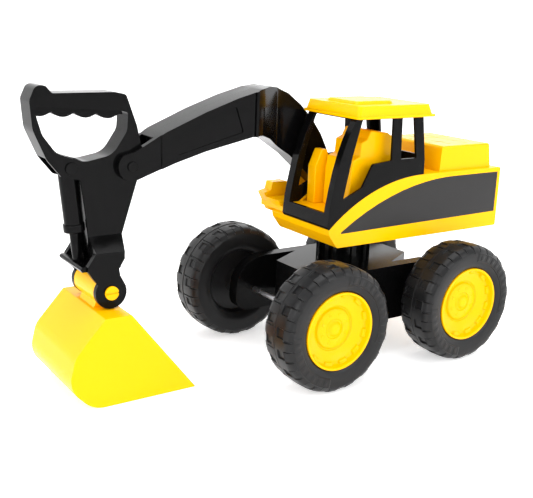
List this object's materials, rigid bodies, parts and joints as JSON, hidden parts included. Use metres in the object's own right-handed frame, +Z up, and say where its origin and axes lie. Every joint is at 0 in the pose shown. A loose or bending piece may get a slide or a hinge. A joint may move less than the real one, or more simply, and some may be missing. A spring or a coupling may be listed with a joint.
{
  "type": "toy excavator",
  "caption": "Four-wheeled toy excavator with an open cab, slewing body, jointed boom, stick with a D-handle and model cylinder, and a pivoting bucket.",
  "frame": {"origin": "middle of the whole footprint, on the floor the wheels stand on", "axes": "+X forward towards the bucket, +Y the operator's left (cab side), +Z up"},
  "size_m": [0.4742, 0.2024, 0.2622],
  "materials": {
    "yellow_plastic": "moulded, glossy",
    "black_plastic": "moulded, glossy",
    "tyre": "satin, fine texture",
    "steel": "drawn wire",
    "label": "flat printed foil, no lettering"
  },
  "bodies": {
    "chassis": {"chassis_frame": "black_plastic", "turntable_pedestal": "black_plastic", "front_axle": "steel", "rear_axle": "steel", "axle_push_nuts": "steel"},
    "wheel_front_left": {"tyre_front_left": "tyre", "rim_front_left": "yellow_plastic", "hub_cap_front_left": "yellow_plastic"},
    "wheel_front_right": {"tyre_front_right": "tyre", "rim_front_right": "yellow_plastic", "hub_cap_front_right": "yellow_plastic"},
    "wheel_rear_left": {"tyre_rear_left": "tyre", "rim_rear_left": "yellow_plastic", "hub_cap_rear_left": "yellow_plastic"},
    "wheel_rear_right": {"tyre_rear_right": "tyre", "rim_rear_right": "yellow_plastic", "hub_cap_rear_right": "yellow_plastic"},
    "superstructure": {"lower_body": "yellow_plastic", "base_plate": "yellow_plastic", "slew_spigot": "yellow_plastic", "pivot_washer": "steel", "pivot_screw": "steel", "base_screws": "steel", "side_panel_left": "label", "side_panel_right": "label", "engine_cover": "yellow_plastic", "cab_frame": "black_plastic", "cab_roof": "yellow_plastic", "cab_floor": "yellow_plastic", "seat": "yellow_plastic", "control_console": "yellow_plastic", "boom_bracket": "yellow_plastic", "boom_pin": "steel"},
    "boom": {"boom_shell_left": "black_plastic", "boom_shell_right": "black_plastic", "boom_screws": "steel", "stick_pin": "black_plastic"},
    "stick": {"stick_shell_left": "black_plastic", "stick_shell_right": "black_plastic", "grip_insert": "black_plastic", "stick_screws": "steel", "cylinder_pin": "black_plastic", "cylinder_tube": "black_plastic", "cylinder_gland": "black_plastic", "cylinder_rod": "black_plastic"},
    "bucket": {"bucket_shell": "yellow_plastic", "bucket_pin": "yellow_plastic"}
  },
  "joints": [
    {"name": "slew", "type": "hinge", "parent": "chassis", "child": "superstructure", "pos_m": [-0.07107, 0, 0.1], "axis": [0, 0, 1], "continuous": true},
    {"name": "spin_front_left", "type": "hinge", "parent": "chassis", "child": "wheel_front_left", "pos_m": [0.00758, 0.0812, 0.0575], "axis": [0, 1, 0], "continuous": true},
    {"name": "spin_front_right", "type": "hinge", "parent": "chassis", "child": "wheel_front_right", "pos_m": [0.00758, -0.0812, 0.0575], "axis": [0, 1, 0], "continuous": true},
    {"name": "spin_rear_left", "type": "hinge", "parent": "chassis", "child": "wheel_rear_left", "pos_m": [-0.14972, 0.0812, 0.0575], "axis": [0, 1, 0], "continuous": true},
    {"name": "spin_rear_right", "type": "hinge", "parent": "chassis", "child": "wheel_rear_right", "pos_m": [-0.14972, -0.0812, 0.0575], "axis": [0, 1, 0], "continuous": true},
    {"name": "boom_lift", "type": "hinge", "parent": "superstructure", "child": "boom", "pos_m": [-0.06707, -0.043, 0.16], "axis": [0, -1, 0], "range_deg": [-8, 22]},
    {"name": "stick_swing", "type": "hinge", "parent": "boom", "child": "stick", "pos_m": [0.15393, -0.022, 0.195], "axis": [0, -1, 0], "range_deg": [-12, 20]},
    {"name": "bucket_curl", "type": "hinge", "parent": "stick", "child": "bucket", "pos_m": [0.17893, -0.022, 0.092], "axis": [0, -1, 0], "range_deg": [-45, 20]}
  ]
}
